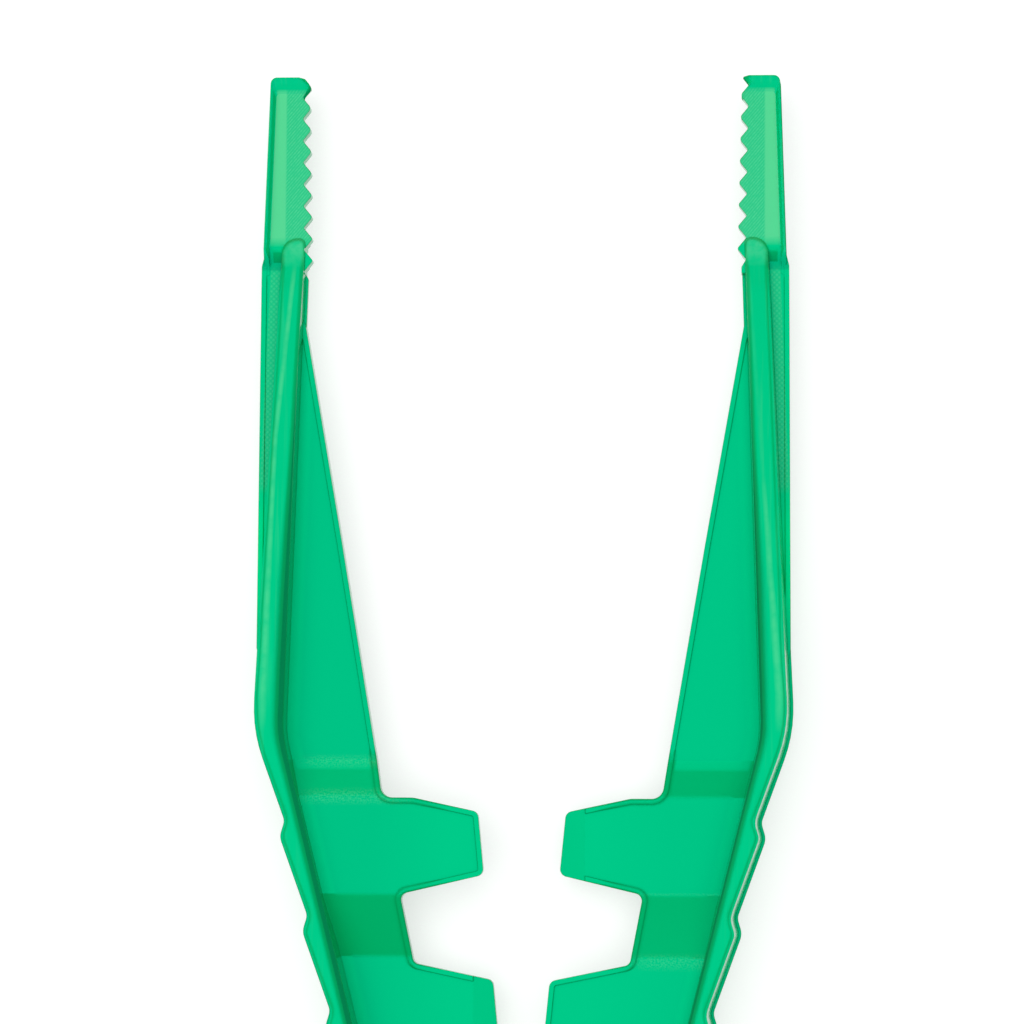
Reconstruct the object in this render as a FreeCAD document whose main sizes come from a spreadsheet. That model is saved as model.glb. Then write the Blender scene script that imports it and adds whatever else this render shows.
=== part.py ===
import FreeCAD, Part
import math
import os

# Dressing forceps, one moulding in polypropylene, lying on one side.
# X runs across the arms, Y towards the jaw tips, Z up out of the flat.
# Every plan outline is laid out by x, the distance from the mid-line, and by
# the station, the distance back from the jaw tips. Lengths are in millimetres.

SIZES = {
    # strips: the tall bands that run from each jaw round the rear bow
    "strip_half_height": 5.0,
    "strip_draft_angle": 4.0,
    "strip_inner_edge_radius": 0.55,
    "strip_outer_edge_chamfer": 0.2,
    "strip_front_station": 13.2,
    "strip_front_outer_x": 20.0,
    "strip_front_inner_x": 17.95,
    "strip_end_outer_radius": 1.4,
    "strip_end_inner_radius": 0.6,
    "strip_nose_step": 0.16,
    "strip_front_rise": 2.0,
    "strip_nose_run": 4.4,
    "strip_nose_bend_radius": 12.0,
    "strip_full_station": 47.0,
    "strip_run_in_radius": 60.0,
    "bend_station": 54.11,
    "bend_inner_x": 19.27,
    "bend_wall": 2.5,
    "bend_outer_lead": 1.07,
    "bend_outer_radius": 12.0,
    "bend_inner_radius": 9.0,
    "parting_land": 0.2,
    "parting_land_half": 0.3,
    # grips: saw-tooth steps on the outer face behind the bend
    "grip_angle": 14.1,
    "grip_wall": 2.38,
    "grip_first_step": 6.8,
    "grip_pitch": 7.94,
    "grip_step_depth": 0.7,
    "grip_step_run": 1.17,
    "grip_step_count": 5,
    "grip_step_radius": 1.2,
    # rear bow
    "bow_inner_radius": 3.0,
    "bow_wall": 1.8,
    "bow_blend_run": 5.0,
    # webs: the thin plates between the strips
    "web_thickness": 1.2,
    "web_front_inset": 0.1,
    "web_front_run": 1.2,
    "web_mid_radius": 300.0,
    "web_root_radius": 1.0,
    "tab_one_flat_radius": 2.0,
    "web_outer_front_x": 21.7,
    "web_outer_rear_x": 21.83,
    "web_front_station": 14.4,
    "web_apex_station": 20.6,
    "web_mid_x": 14.92,
    "web_mid_station": 38.1,
    "web_root_x": 11.36,
    "web_end_station": 104.0,
    "bead_width": 0.42,
    "bead_rise": 0.14,
    "level_shift": 1.0,
    "ramp_one_start": 56.1,
    "ramp_one_end": 59.1,
    "ramp_two_start": 67.0,
    "ramp_two_end": 72.1,
    "ramp_three_run": 3.0,
    # tabs: the guide plates that pass over and under each other
    "tab_one_station": 59.2,
    "tab_one_flat_x": 8.81,
    "tab_one_nose_x": 3.52,
    "tab_one_nose_drop": 1.13,
    "tab_one_side": 5.1,
    "tab_side_lean": 0.5,
    "tab_root_drop": 1.6,
    "notch_root_x": 9.84,
    "notch_depth": 5.6,
    "notch_lean": 1.0,
    "tab_two_nose_x": 2.37,
    "tab_two_nose_drop": 1.35,
    "tab_two_root_x": 7.6,
    "tab_corner_radius": 0.62,
    "lead_in_run": 2.1,
    "lead_in_depth": 0.35,
    # jaws: shallow trays with a rim outside and teeth inside
    "jaw_half_thickness": 2.2,
    "jaw_length": 15.0,
    "jaw_tip_outer_x": 21.0,
    "jaw_root_outer_x": 21.5,
    "jaw_corner_radius": 0.6,
    "jaw_draft_angle": 2.0,
    "jaw_plate_thickness": 1.2,
    "tray_floor_height": 1.2,
    "tray_end_wall": 0.16,
    "tray_end_slope_run": 1.1,
    "tray_rim_top": 0.22,
    "tray_rim_base": 0.5,
    "tray_corner_radius": 0.3,
    "tray_floor_end": 14.05,
    "tray_relief_run": 1.3,
    "rim_fall_run": 1.3,
    # teeth
    "tooth_pitch": 1.811,
    "tooth_depth": 0.74,
    "tooth_count": 9,
    "tooth_first_station": 0.66,
    "tooth_tip_front_x": 17.7,
    "tooth_tip_rear_x": 17.42,
    "tooth_tip_front_radius": 0.42,
    "tooth_tip_rear_radius": 0.2,
    "tooth_gullet_front_radius": 0.28,
    "tooth_gullet_rear_radius": 0.1,
    "tooth_end_flare": 0.42,
}

doc = FreeCAD.newDocument("dressing_forceps")
sheet = doc.addObject("Spreadsheet::Sheet", "Sizes")
for row, (alias, value) in enumerate(SIZES.items(), start=1):
    sheet.set(f"A{row}", alias.replace("_", " "))
    sheet.set(f"B{row}", str(value))
    sheet.setAlias(f"B{row}", alias)
doc.recompute()


def size(alias):
    """The value of one cell of the sheet."""
    return float(sheet.get(alias))


# The grips lean in from the bend at this angle and meet in the rear bow.
GRIP_ANGLE = math.radians(size("grip_angle"))
SIN_GRIP = math.sin(GRIP_ANGLE)
COS_GRIP = math.cos(GRIP_ANGLE)


def on_grip(along, out):
    """A point of the grip: along it from the inner bend corner, and out from its inner face."""
    x = size("bend_inner_x") - along * SIN_GRIP + out * COS_GRIP
    station = size("bend_station") + along * COS_GRIP + out * SIN_GRIP
    return x, station


def grip_crossing(out):
    """The station at which the grip's line, moved out by this much, meets the mid-line."""
    x, station = on_grip(0.0, out)
    return station + x * COS_GRIP / SIN_GRIP


BOW_CENTRE_STATION = grip_crossing(0.0) - size("bow_inner_radius") / SIN_GRIP
OVERALL_LENGTH = BOW_CENTRE_STATION + size("bow_inner_radius") + size("bow_wall") + size("parting_land")
HALF_LENGTH = OVERALL_LENGTH / 2
BEYOND = 3.0  # how far a cutting or limiting solid runs past what it cuts
CLEAR = 0.02        # keeps two faces from lying in one plane
PAST_RIM = 1.25     # how far the jaw's hollows run past its rim, as a share of its height
HALF_WIDTH = "2 * Sizes.web_outer_rear_x"  # each way across, past both arms
HALF_HEIGHT = "2 * Sizes.strip_half_height"  # each way up and down, past every face
INSIDE_X = 5.0  # well inside the gap between the arms


def plan(x, station, z=0.0):
    """A point of a plan outline."""
    return FreeCAD.Vector(x, HALF_LENGTH - station, z)


def profile(station, z):
    """A point of an outline seen from the side."""
    return FreeCAD.Vector(0.0, HALF_LENGTH - station, z)


def rounded_loop(corners):
    """A closed wire of straight runs, each corner an arc of its own radius."""
    starts, ends, arcs = [], [], []
    count = len(corners)
    for index, (corner, radius) in enumerate(corners):
        before = corners[index - 1][0]
        after = corners[(index + 1) % count][0]
        run_in = (corner - before).normalize()
        run_out = (after - corner).normalize()
        turn = run_in.getAngle(run_out)
        if radius <= 0 or turn < 1e-6:
            starts.append(corner)
            ends.append(corner)
            arcs.append(None)
            continue
        tangent = radius * math.tan(turn / 2)
        start = corner - run_in * tangent
        end = corner + run_out * tangent
        towards_centre = (run_out - run_in).normalize()
        middle = corner + towards_centre * (radius / math.cos(turn / 2) - radius)
        starts.append(start)
        ends.append(end)
        arcs.append(Part.Arc(start, middle, end).toShape())
    edges = []
    for index in range(count):
        if arcs[index] is not None:
            edges.append(arcs[index])
        following = starts[(index + 1) % count]
        if (following - ends[index]).Length > 1e-6:
            edges.append(Part.LineSegment(ends[index], following).toShape())
    return Part.Wire(Part.__sortEdges__(edges))


def outline(name, corners):
    """A document object that holds one closed outline."""
    feature = doc.addObject("Part::Feature", name)
    feature.Shape = rounded_loop(corners)
    return feature


def extrusion(name, base, direction, forward, backward, taper=None):
    """A solid pushed out of an outline both ways; its lengths are expressions of the sheet."""
    feature = doc.addObject("Part::Extrusion", name)
    feature.Base = base
    feature.DirMode = "Custom"
    feature.Dir = direction
    feature.Solid = True
    feature.setExpression("LengthFwd", forward)
    feature.setExpression("LengthRev", backward)
    if taper:
        feature.setExpression("TaperAngle", taper)
        feature.setExpression("TaperAngleRev", taper)
    return feature


def boolean(kind, name, base, tool):
    """A Part::Cut or Part::Common of two objects."""
    feature = doc.addObject(f"Part::{kind}", name)
    feature.Base = base
    feature.Tool = tool
    return feature


UP = FreeCAD.Vector(0, 0, 1)
ACROSS = FreeCAD.Vector(1, 0, 0)
BACK = FreeCAD.Vector(0, -1, 0)


def strip_inner_x(station):
    """The strip's inner face between the jaw and the bend, at the parting plane."""
    run = size("bend_station") - size("strip_front_station")
    slope = (size("bend_inner_x") - size("strip_front_inner_x")) / run
    return size("strip_front_inner_x") + slope * (station - size("strip_front_station"))


def mirrored(corners):
    """The same corners on the other side of the mid-line, in reverse order."""
    return [(FreeCAD.Vector(-point.x, point.y, point.z), radius) for point, radius in reversed(corners)]


def strip_outer_corners():
    """The strip's outer face from the jaw to the last grip step."""
    step_radius = size("grip_step_radius")
    corners = [(plan(size("strip_front_outer_x"), size("strip_front_station")), size("strip_end_outer_radius"))]
    corners.append((plan(*on_grip(-size("bend_outer_lead"), size("bend_wall"))), size("bend_outer_radius")))
    for step in range(int(size("grip_step_count"))):
        valley = size("grip_first_step") + step * size("grip_pitch")
        peak = valley + size("grip_step_run")
        low = size("grip_wall") - size("grip_step_depth")
        corners.append((plan(*on_grip(valley, low)), step_radius))
        corners.append((plan(*on_grip(peak, size("grip_wall"))), step_radius))
    blend = peak + size("bow_blend_run")
    corners.append((plan(*on_grip(blend, size("bow_wall"))), step_radius))
    return corners


def strip_outline():
    """One closed band: up one arm, round the bow and down the other."""
    outer = strip_outer_corners()
    inner = [
        (plan(size("bend_inner_x"), size("bend_station")), size("bend_inner_radius")),
        (plan(size("strip_front_inner_x"), size("strip_front_station")), size("strip_end_inner_radius")),
    ]
    bow_outer_radius = size("bow_inner_radius") + size("bow_wall")
    bow_outer = (plan(0, grip_crossing(size("bow_wall"))), bow_outer_radius)
    bow_inner = (plan(0, grip_crossing(0.0)), size("bow_inner_radius"))
    return outline("strip_plan", outer + [bow_outer] + mirrored(outer) + mirrored(inner) + [bow_inner] + inner)


def strip_side_outline():
    """The strip's height along its length: a nose out of the jaw's floor, a long rise, then level."""
    front = size("strip_front_station")
    nose = front + size("strip_nose_run")
    full = size("strip_full_station")
    far = OVERALL_LENGTH + BEYOND
    tall = size("strip_half_height")
    rise = size("strip_front_rise")
    upper = [
        (front - 0.1, size("tray_floor_height") + size("strip_nose_step"), 0.0),
        (nose, rise, size("strip_nose_bend_radius")),
        (full, tall, size("strip_run_in_radius")),
        (far, tall, 0.0),
    ]
    corners = [(profile(station, z), radius) for station, z, radius in upper]
    corners += [(profile(station, -z), radius) for station, z, radius in reversed(upper)]
    return outline("strip_side", corners)


def faces_inward(x, station):
    """Whether a point of the strip's rim is nearer its inner face than its outer one."""
    x = abs(x)
    if station > BOW_CENTRE_STATION:
        return math.hypot(x, station - BOW_CENTRE_STATION) < size("bow_inner_radius") + size("bow_wall") / 2
    if station < size("bend_station"):
        return x < strip_inner_x(station) + size("grip_wall") / 2
    out = (x - size("bend_inner_x")) * COS_GRIP + (station - size("bend_station")) * SIN_GRIP
    return out < size("grip_wall") / 2


def long_edges(shape, height_at, inward):
    """The edges along the strips' upper and lower faces, on their inner or their outer side."""
    close = 0.02
    chosen = []
    for number, edge in enumerate(shape.Edges, start=1):
        middle = edge.valueAt((edge.FirstParameter + edge.LastParameter) / 2)
        ends = [edge.valueAt(edge.FirstParameter), edge.valueAt(edge.LastParameter)]
        on_face = all(abs(abs(point.z) - height_at(point.y)) < close for point in ends + [middle])
        across = abs(ends[0].y - ends[1].y) < close and abs(ends[0].x) * abs(ends[1].x) > 1
        if on_face and not across and faces_inward(middle.x, HALF_LENGTH - middle.y) == inward:
            chosen.append(number)
    return chosen


def strips():
    """Both strips and the bow, drafted from the parting plane, with rounded edges."""
    band = strip_outline()
    reach = size("strip_half_height") + 1.0
    inset = reach * math.tan(math.radians(size("strip_draft_angle")))
    sections = []
    for name, lift in (("strip_lower_plan", -reach), ("strip_upper_plan", reach)):
        section = doc.addObject("Part::Feature", name)
        section.Shape = band.Shape.makeOffset2D(-inset, 0, False, False)
        section.Placement.Base.z = lift
        sections.append(section)
    block = doc.addObject("Part::Loft", "strip_block")
    block.Sections = [sections[0], band, sections[1]]
    block.Solid = True
    block.Ruled = True
    side = extrusion("strip_side_limit", strip_side_outline(), ACROSS, HALF_WIDTH, HALF_WIDTH)
    core = boolean("Common", "strip_core", block, side)
    doc.recompute()
    limit = side.Shape

    def height_at(y):
        probe = Part.makeLine(FreeCAD.Vector(0, y, 0), FreeCAD.Vector(0, y, 2 * reach))
        return limit.common(probe).BoundBox.ZMax

    # The narrowest place on top, in a grip's valley, has room for both edges.
    valley = size("grip_wall") - size("grip_step_depth") - 2 * inset
    radius = min(size("strip_inner_edge_radius"), 0.6 * valley)
    chamfer = min(size("strip_outer_edge_chamfer"), 0.3 * valley)
    eased = doc.addObject("Part::Chamfer", "strip_outer_eased")
    eased.Base = core
    eased.Edges = [(number, chamfer, chamfer) for number in long_edges(core.Shape, height_at, False)]
    doc.recompute()
    rounded = doc.addObject("Part::Fillet", "strip_inner_rounded")
    rounded.Base = eased
    rounded.Edges = [(number, radius, radius) for number in long_edges(eased.Shape, height_at, True)]
    return band, rounded


def parting_land(band, web_prisms):
    """The low flat line round the strips at the parting plane, left off where a web joins."""
    land_plan = doc.addObject("Part::Offset2D", "land_plan")
    land_plan.Source = band
    land_plan.setExpression("Value", "Sizes.parting_land")
    half = "Sizes.parting_land_half"
    land = extrusion("land_band", land_plan, UP, half, half)
    webs = doc.addObject("Part::MultiFuse", "web_prisms")
    webs.Shapes = web_prisms
    return boolean("Cut", "parting_land", land, webs)


def web_corners():
    """The web's outline on the right arm, from its outer lip round both tabs."""
    corner = size("tab_corner_radius")
    tab_one = size("tab_one_station")
    nose_one = tab_one + size("tab_one_nose_drop")
    heel_one = nose_one + size("tab_one_side")
    notch_top = heel_one + size("tab_root_drop")
    notch_foot = notch_top + size("notch_depth")
    nose_two = notch_foot + size("tab_two_nose_drop")
    heel_two = nose_two + size("tab_one_side")
    root_two = heel_two + size("tab_root_drop")
    lean = size("tab_side_lean")
    end = size("web_end_station")
    end_along = (end - size("bend_station")) / COS_GRIP
    middle = size("grip_wall") / 2
    hidden = size("grip_wall") / 4  # a little inside the strip's wall, where the outline doesn't show
    apex = size("web_apex_station")
    apex_x = strip_inner_x(apex)
    return [
        (plan(size("jaw_root_outer_x") - size("web_front_inset"), size("web_front_station")), 0.0),
        (plan(size("web_outer_front_x"), size("web_front_station") + size("web_front_run")), 0.0),
        (plan(size("web_outer_rear_x"), size("strip_full_station")), 0.0),
        (plan(*on_grip(0.0, middle)), 0.0),
        (plan(*on_grip(end_along, middle)), 0.0),
        (plan(*on_grip(end_along - 1.0, hidden)), 0.0),
        (plan(size("tab_two_root_x"), root_two), corner),
        (plan(size("tab_two_nose_x") - lean, heel_two), corner),
        (plan(size("tab_two_nose_x"), nose_two), corner),
        (plan(size("notch_root_x") - size("notch_lean"), notch_foot), corner),
        (plan(size("notch_root_x"), notch_top), corner),
        (plan(size("tab_one_nose_x") - lean, heel_one), corner),
        (plan(size("tab_one_nose_x"), nose_one), corner),
        (plan(size("tab_one_flat_x"), tab_one), size("tab_one_flat_radius")),
        (plan(size("web_root_x"), tab_one), size("web_root_radius")),
        (plan(size("web_mid_x"), size("web_mid_station")), size("web_mid_radius")),
        (plan(apex_x - size("parting_land"), apex), 0.0),
        (plan(apex_x + hidden, apex - 2.0), 0.0),
        (plan(apex_x + hidden, size("web_front_station")), 0.0),
    ]


def level_outline(name, side, extra):
    """The web seen from the side, with its ramps; extra thickens it for the edge bead."""
    half = size("web_thickness") / 2 + extra
    shift = -side * size("level_shift")
    third = size("tab_one_station") + size("tab_one_nose_drop") + 2 * (size("tab_one_side") + size("tab_root_drop"))
    third += size("notch_depth") + size("tab_two_nose_drop")
    levels = [
        (size("web_front_station") - 1.0, 0.0),
        (size("ramp_one_start"), 0.0),
        (size("ramp_one_end"), shift),
        (size("ramp_two_start"), shift),
        (size("ramp_two_end"), -shift),
        (third, -shift),
        (third + size("ramp_three_run"), 0.0),
        (size("web_end_station") + BEYOND, 0.0),
    ]
    upper = [(profile(station, level + half), 0.0) for station, level in levels]
    lower = [(profile(station, level - half), 0.0) for station, level in reversed(levels)]
    return outline(name, upper + lower)


def lead_in(name, side, tab_x, station, length, level):
    """A wedge cut that thins a tab's end where the other arm's tab slides past it."""
    face = size("web_thickness") / 2
    upward = 1 if level < 0 else -1
    surface = level + upward * face
    inner = tab_x - size("tab_side_lean") - BEYOND
    outer = tab_x - size("tab_side_lean") + size("lead_in_run")
    slope = size("lead_in_depth") / size("lead_in_run")
    start_z = surface - upward * slope * (outer - inner)
    clear_z = surface + upward * BEYOND
    points = [(inner, start_z), (outer, surface), (outer, clear_z), (inner, clear_z)]
    corners = [(plan(side * x, station, z), 0.0) for x, z in points]
    return extrusion(name, outline(f"{name}_outline", corners), BACK, str(length), "0")


def web(side):
    """One arm's web with the bead along its edge and its tabs' lead-ins, and the plain prism of its outline."""
    word = "right" if side > 0 else "left"
    corners = web_corners()
    if side < 0:
        corners = mirrored(corners)
    web_plan = outline(f"{word}_web_plan", corners)
    tall = extrusion(f"{word}_web_prism", web_plan, UP, HALF_HEIGHT, HALF_HEIGHT)
    level_side = level_outline(f"{word}_web_side", side, 0.0)
    plate_side = extrusion(f"{word}_web_levels", level_side, ACROSS, HALF_WIDTH, HALF_WIDTH)
    plate = boolean("Common", f"{word}_web_plate", tall, plate_side)
    inset_plan = doc.addObject("Part::Offset2D", f"{word}_bead_plan")
    inset_plan.Source = web_plan
    inset_plan.setExpression("Value", "-Sizes.bead_width")
    inset = extrusion(f"{word}_bead_inner", inset_plan, UP, HALF_HEIGHT, HALF_HEIGHT)
    ring = boolean("Cut", f"{word}_bead_ring", tall, inset)
    bead_outline = level_outline(f"{word}_bead_side", side, size("bead_rise"))
    bead_side = extrusion(f"{word}_bead_levels", bead_outline, ACROSS, HALF_WIDTH, HALF_WIDTH)
    bead = boolean("Common", f"{word}_bead", ring, bead_side)
    whole = doc.addObject("Part::MultiFuse", f"{word}_web_with_bead")
    whole.Shapes = [plate, bead]
    shift = -side * size("level_shift")
    nose_one = size("tab_one_station")
    length_one = size("tab_one_nose_drop") + size("tab_one_side") + size("tab_root_drop")
    nose_two = nose_one + length_one + size("notch_depth")
    length_two = size("tab_two_nose_drop") + size("tab_one_side") + size("tab_root_drop")
    first = lead_in(f"{word}_lead_in_one", side, size("tab_one_nose_x"), nose_one, length_one, shift)
    second = lead_in(f"{word}_lead_in_two", side, size("tab_two_nose_x"), nose_two, length_two, -shift)
    thinned = boolean("Cut", f"{word}_web_thinned", whole, first)
    return boolean("Cut", f"{word}_web", thinned, second), tall


def jaw(side):
    """One jaw: a block to the rim's height, hollowed to a tray on both faces."""
    word = "right" if side > 0 else "left"
    inner_x = size("tooth_tip_rear_x") - 0.6
    length = size("jaw_length")
    rear = length + size("tray_relief_run")
    slope = (size("jaw_root_outer_x") - size("jaw_tip_outer_x")) / length
    rear_x = size("jaw_tip_outer_x") + slope * rear
    block_corners = [
        (plan(inner_x, 0.0), 0.0),
        (plan(inner_x, rear), 0.0),
        (plan(rear_x, rear), 0.0),
        (plan(size("jaw_tip_outer_x"), 0.0), size("jaw_corner_radius")),
    ]
    if side < 0:
        block_corners = mirrored(block_corners)
    half = "Sizes.jaw_half_thickness"
    block_plan = outline(f"{word}_jaw_plan", block_corners)
    block = extrusion(f"{word}_jaw_block", block_plan, UP, half, half, "-Sizes.jaw_draft_angle")
    tools = []
    upper_floor = size("tray_floor_height")
    for place, face, floor in (("top", 1, upper_floor), ("bottom", -1, upper_floor - size("jaw_plate_thickness"))):
        tools.append(flare(f"{word}_tooth_flare_{place}", side, face, floor))
        tools.append(tray(f"{word}_tray_{place}", side, face, floor, slope, rear))
        tools.append(relief(f"{word}_relief_{place}", side, face, floor, rear_x, rear))
        tools.append(rim_fall(f"{word}_rim_fall_{place}", side, face, rear))
    hollows = doc.addObject("Part::MultiFuse", f"{word}_jaw_hollows")
    hollows.Shapes = tools
    return boolean("Cut", f"{word}_jaw", block, hollows)


def tray(name, side, face, floor, slope, rear):
    """The tray's hollow: a floor outline lofted out to a wider one past the rim."""
    mouth = floor + (face * size("jaw_half_thickness") - floor) * PAST_RIM
    rim_top = size("tray_rim_base") - (size("tray_rim_base") - size("tray_rim_top")) * PAST_RIM
    wall_base = size("tray_end_wall") + size("tray_end_slope_run")
    wall_top = wall_base - size("tray_end_slope_run") * PAST_RIM
    sections = []
    for part, z, rim, wall in (("floor", floor, size("tray_rim_base"), wall_base), ("mouth", mouth, rim_top, wall_top)):
        front_x = size("jaw_tip_outer_x") + slope * wall - rim
        rear_x = size("jaw_tip_outer_x") + slope * (rear + BEYOND) - rim
        corners = [
            (plan(side * INSIDE_X, wall, z), 0.0),
            (plan(side * INSIDE_X, rear + BEYOND, z), 0.0),
            (plan(side * rear_x, rear + BEYOND, z), 0.0),
            (plan(side * front_x, wall, z), size("tray_corner_radius")),
        ]
        sections.append(outline(f"{name}_{part}", corners))
    loft = doc.addObject("Part::Loft", name)
    loft.Sections = sections
    loft.Solid = True
    loft.Ruled = True
    return loft


def relief(name, side, face, floor, rear_x, rear):
    """The slope at the jaw's root, outside the strip, from the tray's floor to the web's face."""
    start = size("tray_floor_end")
    low = face * (size("web_thickness") / 2 - 0.05)
    tall = face * (size("jaw_half_thickness") + BEYOND)
    points = [
        (start, floor),
        (start + size("tray_relief_run"), low),
        (rear + BEYOND, low),
        (rear + BEYOND, tall),
        (start, tall),
    ]
    return outside_strip(name, side, points, rear_x - size("tray_rim_base"))


def rim_fall(name, side, face, rear):
    """The slope by which the rim comes down to the web's lip behind the tray."""
    half = size("jaw_half_thickness")
    low = size("web_thickness") / 2 + size("bead_rise") / 2
    run = size("rim_fall_run")
    start = size("jaw_length") - run / 2
    points = [
        (start - run * (PAST_RIM - 1), low + (half - low) * PAST_RIM),
        (start + run, low),
        (rear + BEYOND, low),
        (rear + BEYOND, low + (half - low) * PAST_RIM),
    ]
    return outside_strip(name, side, [(station, face * z) for station, z in points], size("jaw_root_outer_x") + 1.0)


def outside_strip(name, side, points, reach_x):
    """A side profile cut from the strip's centre line out to a place across the jaw."""
    start_x = (size("strip_front_outer_x") + size("strip_front_inner_x")) / 2
    corners = [(profile(station, z) + FreeCAD.Vector(side * start_x, 0, 0), 0.0) for station, z in points]
    across = FreeCAD.Vector(side, 0, 0)
    return extrusion(name, outline(f"{name}_outline", corners), across, str(reach_x - start_x), "0")


def first_tooth(side):
    """The station of the first whole tooth; the right jaw's teeth are half a pitch ahead."""
    return size("tooth_first_station") - (size("tooth_pitch") / 2 if side > 0 else 0.0)


def tooth_tip_x(station):
    """How far the teeth reach towards the mid-line at a station."""
    lean = (size("tooth_tip_rear_x") - size("tooth_tip_front_x")) / size("jaw_length")
    return size("tooth_tip_front_x") + lean * station


def flare(name, side, face, floor):
    """The end wall's tooth form leans back from the tray's floor to the rim."""
    pitch = size("tooth_pitch")
    first = first_tooth(side)
    rim = floor + (face * size("jaw_half_thickness") - floor) * PAST_RIM
    sections = []
    for part, z, grow in (("low", floor, 0.0), ("high", rim, size("tooth_end_flare") * PAST_RIM)):
        corners = [(plan(side * INSIDE_X, -BEYOND, z), 0.0)]
        for step in range(4):
            station = first + (step - 1) * pitch / 2
            deep = size("tooth_depth") if step % 2 == 0 else 0.0
            corners.append((plan(side * (tooth_tip_x(station) + deep + grow), station, z), 0.0))
        corners.append((plan(side * INSIDE_X, first + pitch, z), 0.0))
        sections.append(outline(f"{name}_{part}", corners))
    loft = doc.addObject("Part::Loft", name)
    loft.Sections = sections
    loft.Solid = True
    loft.Ruled = True
    return loft


def tooth_gap(side):
    """What is cut away between the jaws, with one toothed edge; the two jaws are half a pitch apart."""
    word = "right" if side > 0 else "left"
    pitch = size("tooth_pitch")
    count = int(size("tooth_count"))
    first = first_tooth(side)
    corners = [(plan(INSIDE_X, first - pitch), 0.0)]
    for tooth in range(-1, count):
        back = max(tooth, 0) / max(count - 1, 1)
        tip = first + tooth * pitch
        gullet = tip + pitch / 2
        tip_radius = size("tooth_tip_front_radius") * (1 - back) + size("tooth_tip_rear_radius") * back
        gullet_radius = size("tooth_gullet_front_radius") * (1 - back) + size("tooth_gullet_rear_radius") * back
        corners.append((plan(tooth_tip_x(tip), tip), tip_radius))
        corners.append((plan(tooth_tip_x(gullet) + size("tooth_depth"), gullet), gullet_radius))
    shoulder = gullet + pitch / 3
    shoulder_x = strip_inner_x(gullet) - size("parting_land") - CLEAR
    rear = max(size("jaw_length") + size("tray_relief_run"), shoulder) + 5 * CLEAR
    corners.append((plan(shoulder_x, shoulder), size("tooth_tip_rear_radius")))
    corners.append((plan(shoulder_x, rear), 0.0))
    corners.append((plan(INSIDE_X, rear), 0.0))
    if side < 0:
        corners = mirrored(corners)
    return extrusion(f"{word}_tooth_gap", outline(f"{word}_tooth_plan", corners), UP, HALF_HEIGHT, HALF_HEIGHT)


def forceps():
    """The whole moulding as one solid, standing on the lower edges of its strips."""
    band, rounded_strips = strips()
    pieces = [rounded_strips]
    prisms = []
    for side in (-1, 1):
        plate, prism = web(side)
        prisms.append(prism)
        pieces += [plate, jaw(side)]
    pieces.append(parting_land(band, prisms))
    doc.recompute()
    joined = doc.addObject("Part::MultiFuse", "joined")
    joined.Shapes = pieces
    joined.Refine = True
    left_cut = boolean("Cut", "left_teeth", joined, tooth_gap(-1))
    whole = boolean("Cut", "dressing_forceps_body", left_cut, tooth_gap(1))
    doc.recompute()
    return whole


def check(feature):
    """Stops when an object failed or a shape is empty or broken."""
    if "Invalid" in feature.State or "Error" in feature.State:
        raise RuntimeError(f"{feature.Label} failed: {feature.State}")
    if hasattr(feature, "Shape") and (feature.Shape.isNull() or not feature.Shape.isValid()):
        raise RuntimeError(f"{feature.Label} has no sound shape")


body = forceps()
final = doc.addObject("Part::Feature", "dressing_forceps")
final.Label = "dressing_forceps"
final.Shape = body.Shape
final.setExpression("Placement.Base.z", "Sizes.strip_half_height")
doc.recompute()
for feature in doc.Objects:
    check(feature)
if len(final.Shape.Solids) != 1:
    raise RuntimeError("the moulding is not one solid")

os.makedirs("parts", exist_ok=True)
final.Shape.exportStep("parts/dressing_forceps.step")
print("length", round(OVERALL_LENGTH, 2), "volume", round(final.Shape.Volume, 1), final.Shape.BoundBox)
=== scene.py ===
import math

import bpy
from mathutils import Matrix, Vector


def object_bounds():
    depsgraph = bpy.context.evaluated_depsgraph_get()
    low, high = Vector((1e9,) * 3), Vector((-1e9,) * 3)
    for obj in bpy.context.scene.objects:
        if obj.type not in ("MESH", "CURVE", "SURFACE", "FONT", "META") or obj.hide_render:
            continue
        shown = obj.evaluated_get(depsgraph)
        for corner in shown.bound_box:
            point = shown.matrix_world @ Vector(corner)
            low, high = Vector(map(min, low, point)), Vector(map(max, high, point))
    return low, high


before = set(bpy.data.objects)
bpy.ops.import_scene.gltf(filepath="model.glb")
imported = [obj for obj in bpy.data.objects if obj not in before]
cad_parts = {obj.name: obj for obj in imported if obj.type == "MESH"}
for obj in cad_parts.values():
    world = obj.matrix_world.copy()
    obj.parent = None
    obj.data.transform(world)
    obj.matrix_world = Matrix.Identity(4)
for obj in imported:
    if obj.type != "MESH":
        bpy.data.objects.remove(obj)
cad_low, cad_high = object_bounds()

# The photograph's frame, in its own pixels, and its scale at the object.
PHOTO_SIDE = 1024
PIXELS_PER_MM = 12.2
MM = 0.001
TIP_ROW = 75.4          # the row of the jaw tips
MIDDLE_COLUMN = 523.9   # the column of the line between the arms
FOOT_COLUMN = 767.0     # the column straight under the lens
FOOT_ROW = 850.0        # the row straight under the lens
LENS_DISTANCE = 355 * MM
CAMERA_ROLL = 0.3       # degrees, clockwise in the picture
FOCAL_LENGTH = 100.0    # mm
NEAREST_SEEN = 0.01     # metres from the lens
FARTHEST_SEEN = 10.0

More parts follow.
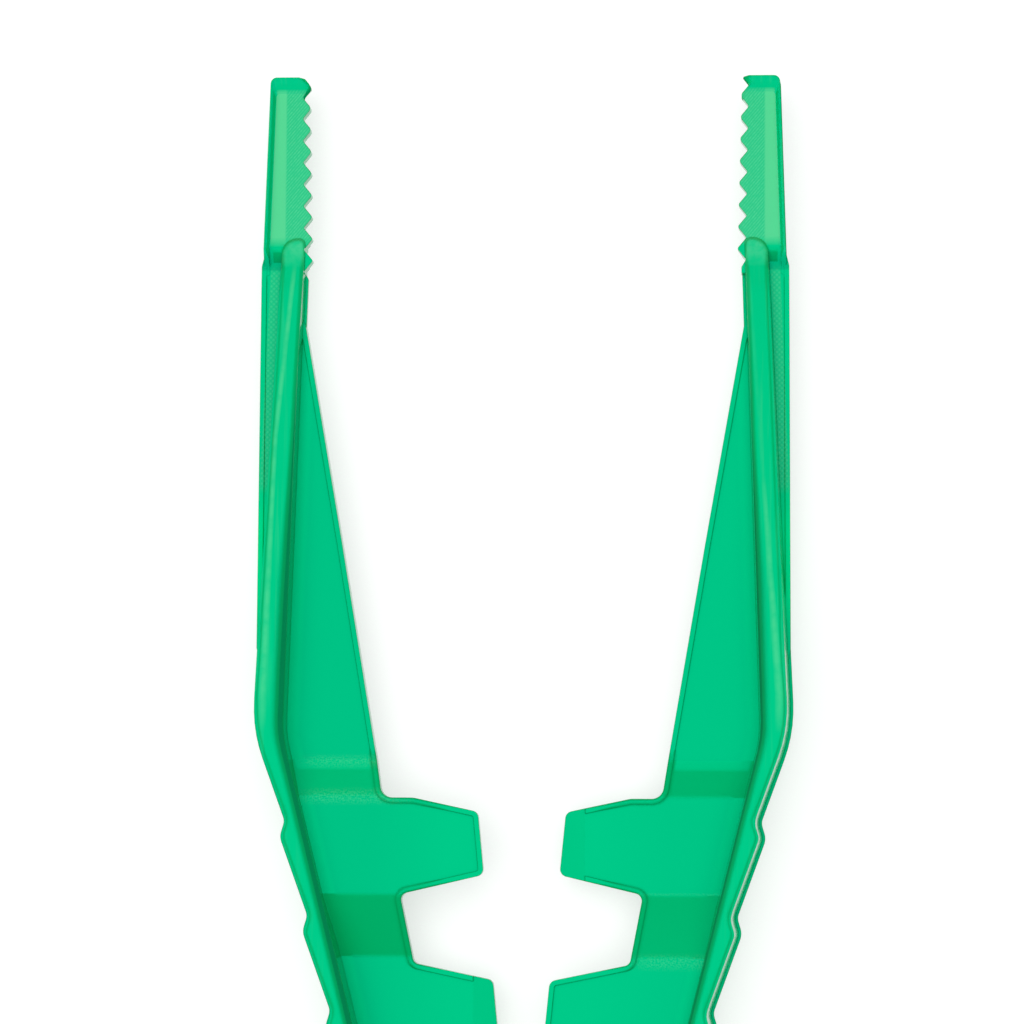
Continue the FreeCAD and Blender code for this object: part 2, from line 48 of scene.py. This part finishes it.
# The table, the lamp and the pale room, in metres and in brightness, where 1 is white.
TABLE_HALF_SIDE = 1.5
TABLE_COLOUR = (0.9, 0.9, 0.9, 1)
TABLE_ROUGHNESS = 0.8
TABLE_SEEN_COLOUR = (0.5, 0.5, 0.5, 1)
TABLE_SEEN_GLOW = 0.6
LAMP_PLACE = Vector((-0.03, 0.03, 0.5))  # from the object's centre
LAMP_SIDE = 0.55
LAMP_RADIANCE = 2.6
WHITE = (1, 1, 1, 1)
ROOM_TO_CAMERA = 0.95
ROOM_IN_REFLECTIONS = 0.5
ROOM_LIGHT = 0.35

middle_z = (cad_low.z + cad_high.z) / 2


def photo_point(column, row, z=middle_z):
    """The point of the parting plane that the photograph shows at a pixel."""
    x = (column - MIDDLE_COLUMN) / PIXELS_PER_MM * MM
    y = cad_high.y - (row - TIP_ROW) / PIXELS_PER_MM * MM
    return Vector((x, y, z))


def make_camera():
    """The lens stands over the lower right of the picture and looks at its centre."""
    lens = photo_point(FOOT_COLUMN, FOOT_ROW) + Vector((0, 0, LENS_DISTANCE))
    sight = photo_point(PHOTO_SIDE / 2, PHOTO_SIDE / 2) - lens
    data = bpy.data.cameras.new("camera")
    data.lens = FOCAL_LENGTH
    data.sensor_width = FOCAL_LENGTH * PHOTO_SIDE / PIXELS_PER_MM * MM / sight.length
    data.clip_start = NEAREST_SEEN
    data.clip_end = FARTHEST_SEEN
    camera = bpy.data.objects.new("camera", data)
    bpy.context.scene.collection.objects.link(camera)
    sight.normalize()
    right = sight.cross(Vector((0, 1, 0))).normalized()
    turn = Matrix((right, right.cross(sight), -sight)).transposed()
    roll = Matrix.Rotation(math.radians(CAMERA_ROLL), 3, "Z")
    camera.matrix_world = Matrix.Translation(lens) @ (turn @ roll).to_4x4()
    bpy.context.scene.camera = camera


class Shade:
    """Short ways to write one node tree."""

    def __init__(self, owner):
        owner.use_nodes = True
        self.tree = owner.node_tree

    def node(self, kind):
        return self.tree.nodes.new(kind)

    def join(self, value, socket):
        """Sets a socket to a number or colour, or links another socket to it."""
        if isinstance(value, bpy.types.NodeSocket):
            self.tree.links.new(value, socket)
        else:
            socket.default_value = value

    def filled(self, made, *values):
        """Joins the values to a node's first inputs and gives its first output."""
        for index, value in enumerate(values):
            self.join(value, made.inputs[index])
        return made.outputs[0]

    def math(self, operation, *operands):
        made = self.node("ShaderNodeMath")
        made.operation = operation
        return self.filled(made, *operands)

    def vector_math(self, operation, *operands):
        made = self.node("ShaderNodeVectorMath")
        made.operation = operation
        return self.filled(made, *operands)

    def split(self, vector):
        """The parts of a vector by the names of their axes."""
        made = self.node("ShaderNodeSeparateXYZ")
        self.join(vector, made.inputs[0])
        return made.outputs

    def product(self, first, *others):
        """All the operands multiplied together."""
        for other in others:
            first = self.math("MULTIPLY", first, other)
        return first

    def largest(self, first, *others):
        """The largest of the operands."""
        for other in others:
            first = self.math("MAXIMUM", first, other)
        return first

    def rest(self, value):
        """What is left of one."""
        return self.math("SUBTRACT", 1.0, value)

    def ramp(self, value, start, end, low=0.0, high=1.0):
        """Runs from low to high while the value runs from start to end, and is level outside."""
        return self.filled(self.node("ShaderNodeMapRange"), value, start, end, low, high)

    def window(self, value, start, end, soft):
        """One between start and end, zero outside, with soft sides."""
        rise = self.ramp(value, start - soft, start + soft)
        fall = self.ramp(value, end - soft, end + soft, 1.0, 0.0)
        return self.product(rise, fall)

    def line(self, along, start, value, slope):
        """A straight line: its value at the start, and its slope."""
        return self.math("MULTIPLY_ADD", self.math("SUBTRACT", along, start), slope, value)

    def stripes(self, along, across, angle, pitch):
        """Sine waves from 0 to 1; the angle, in degrees, turns them."""
        turn = math.radians(angle)
        flat = self.math("MULTIPLY", along, math.cos(turn) * math.tau / pitch)
        path = self.math("MULTIPLY_ADD", across, math.sin(turn) * math.tau / pitch, flat)
        return self.math("MULTIPLY_ADD", self.math("SINE", path), 0.5, 0.5)

    def noise(self, place, size, detail=2.0):
        """Cloudy noise from 0 to 1 with spots of about this size."""
        made = self.node("ShaderNodeTexNoise")
        self.join(place, made.inputs["Vector"])
        self.join(1.0 / size, made.inputs["Scale"])
        self.join(detail, made.inputs["Detail"])
        return made.outputs[0]

    def mix(self, amount, first, second):
        """A colour between two others."""
        made = self.node("ShaderNodeMix")
        made.data_type = "RGBA"
        self.join(amount, made.inputs["Factor"])
        self.join(first, made.inputs["A"])
        self.join(second, made.inputs["B"])
        return made.outputs["Result"]


# Colours of the plastic where it is smooth and where the mould's tool marks pattern it; the pale tones of the
# jaws' floors and of the wedges carry painted sheen, and some colours are painted shade, painted light and
# painted highlights.
GREEN = (0.0, 0.40, 0.11, 1)
# painted shade at the feet of the beads
BEAD_FOOT_SHADE = (0.0, 0.28, 0.07, 1)
# painted shade on the strips' inner edges and in the pockets beside the noses
EDGE_AND_POCKET_SHADE = (0.0, 0.18, 0.035, 1)
# painted light on the jaws' inner walls and in the narrow end of each wedge
PAINTED_LIGHT = (0.0, 0.62, 0.16, 1)
# painted shade on the webs' flats
WEB_SHADE = (0.0, 0.345, 0.093, 1)
# painted highlight: the line along each strip's crown, the glints at the ramps' bends and the streaks of
# sheen
PAINTED_HIGHLIGHT = (0.05, 0.47, 0.15, 1)
# the jaws' smooth lanes: painted sheen on smooth plastic
SMOOTH_LANE_SHEEN = (0.10, 0.49, 0.17, 1)
JAW_HATCH_DARK = (0.03, 0.39, 0.115, 1)
# the pale stripes of the tool marks with painted sheen, and the painted highlight on the noses
PALE_HATCH_AND_NOSE_SHEEN = (0.075, 0.47, 0.17, 1)
WEDGE_DARK = (0.01, 0.36, 0.10, 1)
# the pale tone of the chequer, with painted sheen
WEDGE_PALE = (0.04, 0.42, 0.13, 1)
SPECULAR_TINT = (0.0, 1.0, 0.7, 1)

# All the lengths below are in mm. A station is measured back from the jaw tips, a height up or down from the
# parting plane, and a distance out from the line between the arms. How level a face is runs from 0 for an
# upright wall to 1 for a flat that lies.
# A ramp is given as its start and end, and then its values there where they aren't 0 and 1. A window is given
# as its start, its end and the softness of both. A line is given as a start, its value there and its slope.

# The strips' faces, as lines, and the ramps that tell arms, faces and main forms apart.
INNER_FACE_AHEAD = (0.0, 17.53, 0.0323)
INNER_FACE_BEHIND = (0.0, 32.86, -0.2512)
OUTER_FACE_AHEAD = (0.0, 19.55, 0.041)
FROM_LEFT_TO_RIGHT = (-1.0, 1.0)
LYING = (0.6, 0.8)
STANDING = (0.6, 0.3)
TOP_HEIGHT = (1.6, 2.0)
WEB_SIDE = (-0.7, -1.1)
STRIP_SIDE = (1.5, 0.9)
STRIP_START = (-0.3, -0.1)
STRIP_HEIGHT = (2.3, 2.8)
BOW_BEGINS = (112.0, 100.0)
EDGE_WIDENS = (30.0, 42.0, 0.4, 1.1)
EDGE_NARROWS = (50.0, 60.0, 1.0, 0.75)

# The jaws: the tray's floor, the smooth lane along its rim, and the inner walls of the rim and of its flare.
JAW_END = (13.2, 14.0, 1.0, 0.0)
TRAY_FLOOR_HEIGHT = (1.5, 1.3)
LANE_START = (19.62, 19.78)
RIM_START = (19.8, 19.95)
END_WALL = (1.9, 1.6)
RIM_END = (14.5, 14.0)
FLARE_START = (20.7, 20.9)
FLARE_END = (16.6, 16.2)
HATCH_ANGLE = 40.0
HATCH_PITCH = 0.2
HATCH_SPOTS = 0.25
HATCH_FADES = (0.35, 0.65, 0.35, 1.0)

# The long wedge between each strip and its outer lip.
WEDGE_LENGTH = (15.8, 34.0, 0.4)
WEDGE_WIDTH = (0.0, 0.75, 0.06)
WEDGE_FLOOR_HEIGHT = (1.0, 0.8)
CHEQUER_ANGLE = 45.0
CHEQUER_PITCH = 0.3

# The painted shade on the webs' flats.
FLAT_LEVEL = (0.965, 0.985)
WEB_FADES_TO_RIGHT = (-9.0, 9.0, 1.0, 0.6)
WEB_GROWS_OUTWARD = (6.0, 12.0, 0.2, 1.0)

# Streaks of painted sheen along the strips.
STREAK_WIDTH = 0.35
STREAK_SQUEEZE = 0.04
STREAK_SHARE = (0.5, 0.75, 0.0, 0.3)
STREAKS_GROW = (60.0, 40.0, 0.3, 1.0)
STREAK_SIDE = (0.6, 1.0)

# The painted shade on the strips' inner edges.
EDGE_TONE_BEGINS = (15.5, 18.0)
EDGE_TONE_FADES = (50.0, 60.0, 1.0, 0.7)
EDGE_WALL_TO_TOP = (0.1, 0.4)
EDGE_WALL_SHARES = (0.1, 0.7)   # left arm, right arm
EDGE_TOP_SHARES = (0.7, 1.0)

# Painted light in the narrow end of the wedge.
CLEFT_LENGTH = (35.0, 45.0, 2.0)
CLEFT_HEIGHT = (2.6, 2.2)
CLEFT_SIDE = (1.5, 1.8)
CLEFT_SHARE = 0.7

# The strips' noses with their painted highlight, and the pockets beside them with painted shade.
NOSE_REAR = (15.8, 13.6)
NOSE_FRONT = (12.3, 12.7)
NOSE_HEIGHT = (1.35, 1.5)
NOSE_WIDTH = (17.4, 20.2, 0.1)
NOSE_SPOTS = 0.6
NOSE_SHARE = (0.35, 0.6, 0.3, 0.9)
POCKET_FRONT = (14.3, 15.3)
POCKET_REAR = (16.0, 15.8)
POCKET_WIDTH = (-0.3, 1.6, 0.2)
POCKET_SHARE = (2.0, 1.6, 0.0, 0.6)

# The painted highlight along the crown of each strip.
LEFT_LINE_NEAR_JAW = (18.4, 19.12, 0.091)
LEFT_LINE_NEAR_BEND = (29.9, 20.17, 0.029)
RIGHT_LINE = (35.2, 19.74, 0.0725)
RIGHT_LINE_FARTHEST = 20.87
RIGHT_LINE_BEGINS = (33.0, 37.0, 0.15, 1.0)
LINE_HALF_WIDTH = (36.0, 52.0, 0.24, 0.4)
LINE_SIDE = (1.0, 0.2)          # in half widths
LINE_LENGTH = (15.0, 52.5, 1.5)
LINE_SPOTS = 1.2
LINE_SHARE = (0.3, 0.6, 0.4, 1.0)

# Painted highlights at both bends of one ramp on each web.
LEFT_BENDS = ((58.6, 59.6, 0.3), (55.9, 56.6, 0.3))
RIGHT_BENDS = ((71.9, 72.9, 0.3), (66.9, 67.0, 0.1))
GLINT_WIDTH = (9.5, 17.5, 1.0)
GLINT_SPOTS = 0.14
GLINT_DETAIL = 3.0
GLINT_SHARE = (0.4, 0.65, 0.0, 0.6)
GLINT_SHARES = (1.0, 0.8)       # left arm, right arm
GLINT_HEIGHT = (2.2, 2.0)

# The painted shade at the feet of the beads: how far round a point is looked, and how much deeper it is where
# less is open.
FOOT_REACH = 0.4
FOOT_SHARE = (0.97, 0.6, 0.0, 0.5)
FOOT_SAMPLES = 6

# Roughness of flats and walls, and the radius by which each kind of edge looks rounded.
ROUGHNESS = (0.8, 0.4, 0.36, 0.12)
SMALLEST_RADIUS = 0.1
RAMPS = ((55.4, 60.0, 0.4), (66.0, 73.0, 0.4))
RAMP_RADIUS = 0.5
JAW_RADII = (0.15, 0.7)         # teeth, rim
BEVEL_SAMPLES = 8

# Relief of the tool marks.
MARK_DEPTH = 0.006
MOTTLE_SPOTS = 0.6
MOTTLE_DETAIL = 4.0
MOTTLE_SHARE = 0.6

# How far small faces shade as if they leaned back.
CHAMFER_LEVEL = (0.6, 0.85, 0.05)
CHAMFER_LEAN = (0.9, 1.2, 0.0, 3.0)
RIM_LEAN = 1.8
NOSE_LEAN = 2.5
STEEP_LEAN = (0.75, 0.3, 0.0, 1.2)
FIRST_RAMP_WIDTH = (-6.2, -0.2, 0.1)
FIRST_RAMP_LENGTH = (55.6, 56.8, 0.2)


class Plastic(Shade):
    """The node tree of the green plastic, which knows where on the moulding a point is."""

    def __init__(self, material):
        super().__init__(material)
        self.find_place()
        self.find_strips()
        self.find_jaws()
        self.find_wedge()

    def by_arm(self, left, right):
        """One value on the left arm and another on the right one."""
        return self.ramp(self.right_arm, 0.0, 1.0, left, right)

    def find_place(self):
        """A point's place on the moulding, and how its face lies."""
        in_metres = self.node("ShaderNodeTexCoord").outputs["Object"]
        self.place = self.vector_math("MULTIPLY", in_metres, [1 / MM] * 3)
        parts = self.split(self.place)
        self.x = parts["X"]
        self.out = self.math("ABSOLUTE", self.x)
        self.right_arm = self.ramp(self.x, *FROM_LEFT_TO_RIGHT)
        self.station = self.math("SUBTRACT", cad_high.y / MM, parts["Y"])
        self.above = self.math("SUBTRACT", parts["Z"], middle_z / MM)
        self.height = self.math("ABSOLUTE", self.above)
        self.high = self.ramp(self.height, *TOP_HEIGHT)
        face = self.split(self.node("ShaderNodeNewGeometry").outputs["True Normal"])
        self.level = self.math("ABSOLUTE", face["Z"])
        self.lying = self.ramp(self.level, *LYING)
        self.standing = self.ramp(self.level, *STANDING)

    def find_strips(self):
        """Where the strips and the webs are, and how wide a strip's inner edge is."""
        ahead = self.line(self.station, *INNER_FACE_AHEAD)
        behind = self.line(self.station, *INNER_FACE_BEHIND)
        self.off_inner = self.math("SUBTRACT", self.out, self.math("MINIMUM", ahead, behind))
        self.off_outer = self.math("SUBTRACT", self.out, self.line(self.station, *OUTER_FACE_AHEAD))
        self.on_web = self.ramp(self.off_inner, *WEB_SIDE)
        self.on_strip = self.product(
            self.ramp(self.off_inner, *STRIP_SIDE),
            self.ramp(self.height, *STRIP_HEIGHT),
            self.ramp(self.off_inner, *STRIP_START),
            self.ramp(self.station, *BOW_BEGINS),
        )
        widened = self.ramp(self.station, *EDGE_WIDENS)
        self.edge_width = self.product(widened, self.ramp(self.station, *EDGE_NARROWS))

    def find_jaws(self):
        """The trays' floors with their tool marks, the inner walls of their rims, and the strips' noses."""
        floor_height = self.ramp(self.height, *TRAY_FLOOR_HEIGHT)
        self.in_jaw = self.product(self.ramp(self.station, *JAW_END), floor_height, self.lying)
        self.lane = self.ramp(self.out, *LANE_START)
        self.on_rim = self.largest(self.ramp(self.out, *RIM_START), self.ramp(self.station, *END_WALL))
        self.on_jaw = self.ramp(self.station, *RIM_END)
        flare = self.product(self.ramp(self.out, *FLARE_START), self.ramp(self.station, *FLARE_END))
        self.inside = self.largest(self.product(self.on_rim, self.on_jaw), flare)
        stripes = self.stripes(self.x, self.station, HATCH_ANGLE, HATCH_PITCH)
        self.hatch = self.product(stripes, self.ramp(self.noise(self.place, HATCH_SPOTS), *HATCH_FADES))
        self.nose = self.product(
            self.ramp(self.station, *NOSE_REAR),
            self.ramp(self.height, *NOSE_HEIGHT),
            self.window(self.out, *NOSE_WIDTH),
            self.ramp(self.station, *NOSE_FRONT),
        )

    def find_wedge(self):
        """The floor between each strip and its outer lip, with its chequer."""
        self.in_wedge = self.product(
            self.window(self.station, *WEDGE_LENGTH),
            self.window(self.off_outer, *WEDGE_WIDTH),
            self.lying,
            self.ramp(self.height, *WEDGE_FLOOR_HEIGHT),
        )
        one_way = self.stripes(self.x, self.station, CHEQUER_ANGLE, CHEQUER_PITCH)
        other_way = self.stripes(self.x, self.station, -CHEQUER_ANGLE, CHEQUER_PITCH)
        self.chequer = self.product(one_way, other_way)

    def web_flat_shade(self, colour):
        """Painted shade makes the webs' flats a little deeper than the strips, more towards the strips and
        less on the right arm.
        """
        amount = self.product(
            self.ramp(self.level, *FLAT_LEVEL),
            self.ramp(self.x, *WEB_FADES_TO_RIGHT),
            self.ramp(self.out, *WEB_GROWS_OUTWARD),
            self.on_web,
        )
        return self.mix(amount, colour, WEB_SHADE)

    def streaks(self, colour):
        """Faint streaks of painted sheen run along the strips."""
        squeezed = self.product(self.station, STREAK_SQUEEZE)
        streak_place = self.filled(self.node("ShaderNodeCombineXYZ"), self.x, squeezed)
        amount = self.product(
            self.ramp(self.noise(streak_place, STREAK_WIDTH), *STREAK_SHARE),
            self.high,
            self.ramp(self.station, *STREAKS_GROW),
            self.ramp(self.off_inner, *STREAK_SIDE),
        )
        return self.mix(amount, colour, PAINTED_HIGHLIGHT)

    def inner_edge_shade(self, colour):
        """Painted shade on the strips' inner edges grows deeper towards the web."""
        nearness = self.rest(self.math("DIVIDE", self.off_inner, self.edge_width))
        wall_share = self.by_arm(*EDGE_WALL_SHARES)
        top_share = self.by_arm(*EDGE_TOP_SHARES)
        amount = self.product(
            self.ramp(nearness, 0.0, 1.0),
            self.on_strip,
            self.ramp(self.station, *EDGE_TONE_BEGINS),
            self.ramp(self.station, *EDGE_TONE_FADES),
            self.ramp(self.level, *EDGE_WALL_TO_TOP, wall_share, top_share),
        )
        return self.mix(amount, colour, EDGE_AND_POCKET_SHADE)

    def jaw_trays(self, colour):
        """A smooth lane along the rim with painted sheen, diagonal tool marks towards the teeth, and painted
        light on the inner walls.
        """
        hatched = self.mix(self.hatch, JAW_HATCH_DARK, PALE_HATCH_AND_NOSE_SHEEN)
        colour = self.mix(self.in_jaw, colour, self.mix(self.lane, hatched, SMOOTH_LANE_SHEEN))
        return self.mix(self.product(self.inside, self.standing), colour, PAINTED_LIGHT)

    def wedge_chequer(self, colour):
        """Fine chequer fills the wedge between each strip and its outer lip."""
        tone = self.mix(self.math("SQRT", self.chequer), WEDGE_DARK, WEDGE_PALE)
        return self.mix(self.in_wedge, colour, tone)

    def cleft_light(self, colour):
        """Painted light brightens the narrow end of that wedge."""
        sunk = self.largest(self.standing, self.ramp(self.height, *CLEFT_HEIGHT))
        length = self.window(self.station, *CLEFT_LENGTH)
        amount = self.product(length, sunk, CLEFT_SHARE, self.ramp(self.off_inner, *CLEFT_SIDE))
        return self.mix(amount, colour, PAINTED_LIGHT)

    def noses(self, colour):
        """The strips' noses get a painted highlight, and the pockets beside them painted shade."""
        nose_highlight = self.ramp(self.noise(self.place, NOSE_SPOTS), *NOSE_SHARE)
        colour = self.mix(self.product(self.nose, nose_highlight), colour, PALE_HATCH_AND_NOSE_SHEEN)
        # painted shade in the pocket beside each nose
        pocket_shade = self.product(
            self.ramp(self.station, *POCKET_FRONT),
            self.ramp(self.station, *POCKET_REAR),
            self.window(self.off_outer, *POCKET_WIDTH),
            self.ramp(self.height, *POCKET_SHARE),
        )
        return self.mix(pocket_shade, colour, EDGE_AND_POCKET_SHADE)

    def crown_highlight(self, colour):
        """A painted highlight runs along the crown of each strip, ahead of the bend."""
        near_jaw = self.line(self.station, *LEFT_LINE_NEAR_JAW)
        near_bend = self.line(self.station, *LEFT_LINE_NEAR_BEND)
        left_line = self.math("MINIMUM", near_jaw, near_bend)
        right_line = self.math("MINIMUM", self.line(self.station, *RIGHT_LINE), RIGHT_LINE_FARTHEST)
        off_line = self.math("ABSOLUTE", self.math("SUBTRACT", self.out, self.by_arm(left_line, right_line)))
        off_line = self.math("DIVIDE", off_line, self.ramp(self.station, *LINE_HALF_WIDTH))
        amount = self.product(
            self.ramp(off_line, *LINE_SIDE),
            self.window(self.station, *LINE_LENGTH),
            self.by_arm(1.0, self.ramp(self.station, *RIGHT_LINE_BEGINS)),
            self.high,
            self.ramp(self.noise(self.place, LINE_SPOTS), *LINE_SHARE),
        )
        return self.mix(amount, colour, PAINTED_HIGHLIGHT)

    def windows(self, first, second):
        """One in either of two stretches of stations."""
        return self.math("ADD", self.window(self.station, *first), self.window(self.station, *second))

    def bend_highlights(self, colour):
        """Each web gets a painted highlight where it bends into a ramp."""
        amount = self.product(
            self.by_arm(self.windows(*LEFT_BENDS), self.windows(*RIGHT_BENDS)),
            self.window(self.out, *GLINT_WIDTH),
            self.ramp(self.noise(self.place, GLINT_SPOTS, GLINT_DETAIL), *GLINT_SHARE),
            self.by_arm(*GLINT_SHARES),
            self.ramp(self.height, *GLINT_HEIGHT),
        )
        return self.mix(amount, colour, PAINTED_HIGHLIGHT)

    def bead_foot_shade(self, colour):
        """Painted shade deepens the foot of each bead round the webs, where less is open round it."""
        corner = self.node("ShaderNodeAmbientOcclusion")
        corner.samples = FOOT_SAMPLES
        corner.inputs["Distance"].default_value = FOOT_REACH * MM
        foot = self.product(self.ramp(corner.outputs["AO"], *FOOT_SHARE), self.on_web)
        return self.mix(foot, colour, BEAD_FOOT_SHADE)

    def rounded_normal(self):
        """The normal with rounded edges: softest at the strips' inner ones, less at the ramps and rims."""
        strip_radius = self.product(self.on_strip, self.edge_width)
        ramp_radius = self.product(self.windows(*RAMPS), self.on_web, RAMP_RADIUS)
        jaw_radius = self.product(self.on_jaw, self.ramp(self.on_rim, 0.0, 1.0, *JAW_RADII))
        radius = self.largest(strip_radius, ramp_radius, jaw_radius, SMALLEST_RADIUS)
        bevel = self.node("ShaderNodeBevel")
        bevel.samples = BEVEL_SAMPLES
        self.join(self.product(radius, MM), bevel.inputs["Radius"])
        return bevel.outputs["Normal"]

    def leaned_normal(self, normal):
        """Small faces that would mirror the bright table shade as if they leaned back, up above the parting
        plane and down below it: inner edges, chamfers, rims, noses and the first ramp."""
        steepness = self.ramp(self.math("ABSOLUTE", self.split(normal)["Z"]), *STEEP_LEAN)
        chamfer_side = self.ramp(self.off_inner, *CHAMFER_LEAN)
        first_ramp_length = self.window(self.station, *FIRST_RAMP_LENGTH)
        lean = self.largest(
            self.product(self.on_strip, steepness),
            self.product(self.window(self.off_inner, *FIRST_RAMP_WIDTH), first_ramp_length),
            self.product(self.window(self.level, *CHAMFER_LEVEL), self.high, chamfer_side),
            self.product(self.inside, RIM_LEAN),
            self.product(self.nose, NOSE_LEAN),
        )
        lift = self.node("ShaderNodeCombineXYZ")
        self.join(self.product(lean, self.math("SIGN", self.above)), lift.inputs["Z"])
        return self.vector_math("NORMALIZE", self.vector_math("ADD", normal, lift.outputs[0]))

    def marked_normal(self, normal):
        """The tool marks of the trays and wedges and a faint mottle, as bump."""
        marks = self.product(self.hatch, self.in_jaw, self.rest(self.lane))
        marks = self.math("MULTIPLY_ADD", self.chequer, self.in_wedge, marks)
        mottle = self.noise(self.place, MOTTLE_SPOTS, MOTTLE_DETAIL)
        marks = self.math("MULTIPLY_ADD", mottle, MOTTLE_SHARE, marks)
        bump = self.node("ShaderNodeBump")
        bump.inputs["Distance"].default_value = MARK_DEPTH * MM
        self.join(marks, bump.inputs["Height"])
        self.join(normal, bump.inputs["Normal"])
        return bump.outputs["Normal"]


def plastic():
    """Green moulded polypropylene: soft edges, tool marks in the trays, a painted highlight along each strip,
    and painted light and shade on its walls and in its corners.
    """
    material = bpy.data.materials.new("green_plastic")
    look = Plastic(material)
    shader = look.tree.nodes["Principled BSDF"]
    shader.inputs["Specular IOR Level"].default_value = 1.0
    shader.inputs["Specular Tint"].default_value = SPECULAR_TINT
    layers = (look.web_flat_shade, look.streaks, look.inner_edge_shade, look.jaw_trays, look.wedge_chequer, look.cleft_light,
              look.noses, look.crown_highlight, look.bend_highlights, look.bead_foot_shade)
    colour = GREEN
    for layer in layers:
        colour = layer(colour)
    look.join(colour, shader.inputs["Base Color"])
    look.join(look.ramp(look.level, *ROUGHNESS), shader.inputs["Roughness"])
    normal = look.leaned_normal(look.rounded_normal())
    look.join(look.marked_normal(normal), shader.inputs["Normal"])
    return material


def background_ray(shade):
    """One for rays from the camera and for reflections, which see the bright background."""
    rays = shade.node("ShaderNodeLightPath").outputs
    return shade.largest(rays["Is Camera Ray"], rays["Is Glossy Ray"], rays["Is Transmission Ray"])


def floor():
    """A white table top, far wider than the object; the camera sees only a faint shadow on it."""
    mesh = bpy.data.meshes.new("floor")
    half = TABLE_HALF_SIDE
    corners = [(-half, -half, 0), (half, -half, 0), (half, half, 0), (-half, half, 0)]
    mesh.from_pydata(corners, [], [(0, 1, 2, 3)])
    table = bpy.data.objects.new("floor", mesh)
    bpy.context.scene.collection.objects.link(table)
    material = bpy.data.materials.new("white_table")
    shade = Shade(material)
    shader = shade.tree.nodes["Principled BSDF"]
    shader.inputs["Base Color"].default_value = TABLE_COLOUR
    shader.inputs["Roughness"].default_value = TABLE_ROUGHNESS
    shader.inputs["Specular IOR Level"].default_value = 0.0
    faint = shade.filled(shade.node("ShaderNodeBsdfDiffuse"), TABLE_SEEN_COLOUR)
    glow = shade.node("ShaderNodeEmission")
    glow.inputs["Strength"].default_value = TABLE_SEEN_GLOW
    pale = shade.filled(shade.node("ShaderNodeAddShader"), faint, glow.outputs[0])
    choice = shade.filled(shade.node("ShaderNodeMixShader"), background_ray(shade), shader.outputs[0], pale)
    shade.join(choice, shade.tree.nodes["Material Output"].inputs["Surface"])
    mesh.materials.append(material)


def lamp(name, place, target, side, radiance):
    """A square soft box that faces its target; radiance 1 looks white."""
    data = bpy.data.lights.new(name, "AREA")
    data.shape = "SQUARE"
    data.size = side
    data.energy = radiance * math.pi * side * side
    lamp_object = bpy.data.objects.new(name, data)
    lamp_object.location = place
    lamp_object.rotation_euler = (target - place).to_track_quat("-Z", "Y").to_euler()
    bpy.context.scene.collection.objects.link(lamp_object)


def light():
    """A large soft box overhead, a little past the jaw tips, in a pale room."""
    world = bpy.data.worlds.new("world")
    bpy.context.scene.world = world
    shade = Shade(world)
    room = shade.tree.nodes["Background"]
    room.inputs["Color"].default_value = WHITE
    seen = shade.product(shade.node("ShaderNodeLightPath").outputs["Is Camera Ray"], ROOM_TO_CAMERA)
    mirrored = shade.product(background_ray(shade), ROOM_IN_REFLECTIONS)
    shade.join(shade.largest(seen, mirrored, ROOM_LIGHT), room.inputs["Strength"])
    centre = (cad_low + cad_high) / 2
    lamp("main", centre + LAMP_PLACE, centre, LAMP_SIDE, LAMP_RADIANCE)


make_camera()
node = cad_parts["dressing_forceps"]
node.data.materials.clear()
node.data.materials.append(plastic())
floor()
light()
bpy.context.scene.view_settings.view_transform = "Standard"
